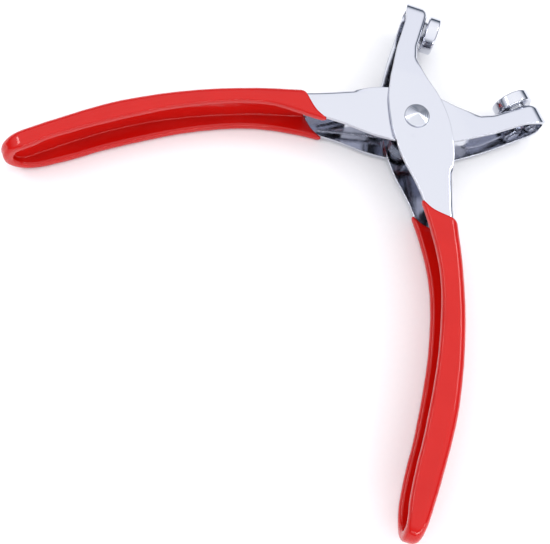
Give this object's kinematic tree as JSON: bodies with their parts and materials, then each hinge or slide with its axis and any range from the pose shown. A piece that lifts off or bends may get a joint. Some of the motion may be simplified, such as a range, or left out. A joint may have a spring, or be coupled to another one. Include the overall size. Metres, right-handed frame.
{
  "type": "hand riveter",
  "caption": "Plier-type hand riveter for snap fasteners: two crossing chromed channel levers on one rivet, sprung open, with a cup die, a stud die and dipped PVC grips.",
  "frame": {"origin": "centre of the pivot rivet's flat tail, on the plane the tool lies on", "axes": "+Z along the pivot axis towards the rivet's cone head, +X along the tool's line of symmetry towards the jaws, +Y towards the inner lever's handle"},
  "size_m": [0.1554, 0.1926, 0.0223],
  "materials": {
    "chrome": "bright chrome plate on pressed steel",
    "steel": "plain bright steel",
    "vinyl": "glossy soft PVC dip coat"
  },
  "bodies": {
    "outer_half": {"outer_lever": "chrome", "outer_grip": "vinyl", "pivot_rivet": "chrome", "pivot_sleeve": "steel", "opening_spring": "steel", "cup_die": "chrome", "cup_die_washer": "steel", "cup_die_nut": "steel"},
    "inner_half": {"inner_lever": "chrome", "inner_grip": "vinyl", "stud_die": "chrome", "stud_die_pin": "steel", "stud_die_washer": "steel", "stud_die_nut": "steel"}
  },
  "joints": [
    {"name": "pivot", "type": "hinge", "parent": "outer_half", "child": "inner_half", "pos_m": [0, 0, 0], "axis": [0, 0, 1], "range_deg": [0, 53], "stiffness_Nm_per_rad": 0.6, "springref_deg": -20.05, "deforming": ["opening_spring"]}
  ]
}
